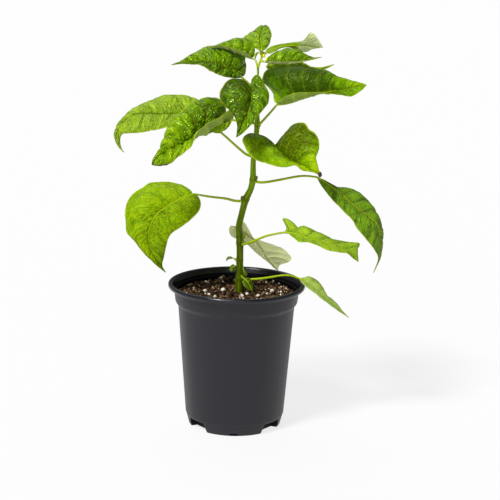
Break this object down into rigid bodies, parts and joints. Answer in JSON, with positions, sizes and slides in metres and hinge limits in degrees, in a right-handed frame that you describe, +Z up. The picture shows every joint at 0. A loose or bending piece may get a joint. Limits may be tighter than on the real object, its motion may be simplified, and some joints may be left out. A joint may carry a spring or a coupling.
{
  "type": "potted chilli pepper plant",
  "caption": "Young chilli pepper plant with a slender stem and broad drooping leaves, standing in a round dark plastic nursery pot filled with potting mix.",
  "frame": {"origin": "centre of the pot's base, on the surface the pot stands on", "axes": "+Z up along the plant, -Y toward the front, +X to the right seen from the front"},
  "size_m": [0.232, 0.1198, 0.3479],
  "materials": {
    "pot_plastic": "satin dark grey moulded plastic",
    "potting_mix": "rough brown peat crumbs with white perlite grains",
    "stem": "semi-matt green stem with darker ridges",
    "leaf_green": "glossy green leaf with pale veins",
    "leaf_yellow_green": "glossy yellow-green leaf with pale veins",
    "leaf_pale": "matt pale green leaf underside"
  },
  "bodies": {
    "root": {"pot": "pot_plastic", "potting_mix": "potting_mix", "stem": "stem", "leaf_lower_left": "leaf_yellow_green", "leaf_lower_right": "leaf_green", "leaf_pale_back": "leaf_pale", "leaf_curled_right": "leaf_green", "leaf_drooping_right": "leaf_green", "leaf_right_heart": "leaf_green", "leaf_left_front": "leaf_green", "leaf_left_back": "leaf_yellow_green", "leaf_centre_front": "leaf_green", "leaf_upper_left": "leaf_green", "leaf_top_left": "leaf_green", "leaf_top": "leaf_green", "leaf_top_right_folded": "leaf_green", "leaf_top_right_middle": "leaf_green", "leaf_top_right_lower": "leaf_green", "leaf_right_big": "leaf_green", "foot_leaf_front": "leaf_green", "foot_leaf_right": "leaf_green", "sprout_upper": "leaf_green", "sprout_lower": "leaf_green"}
  },
  "joints": []
}
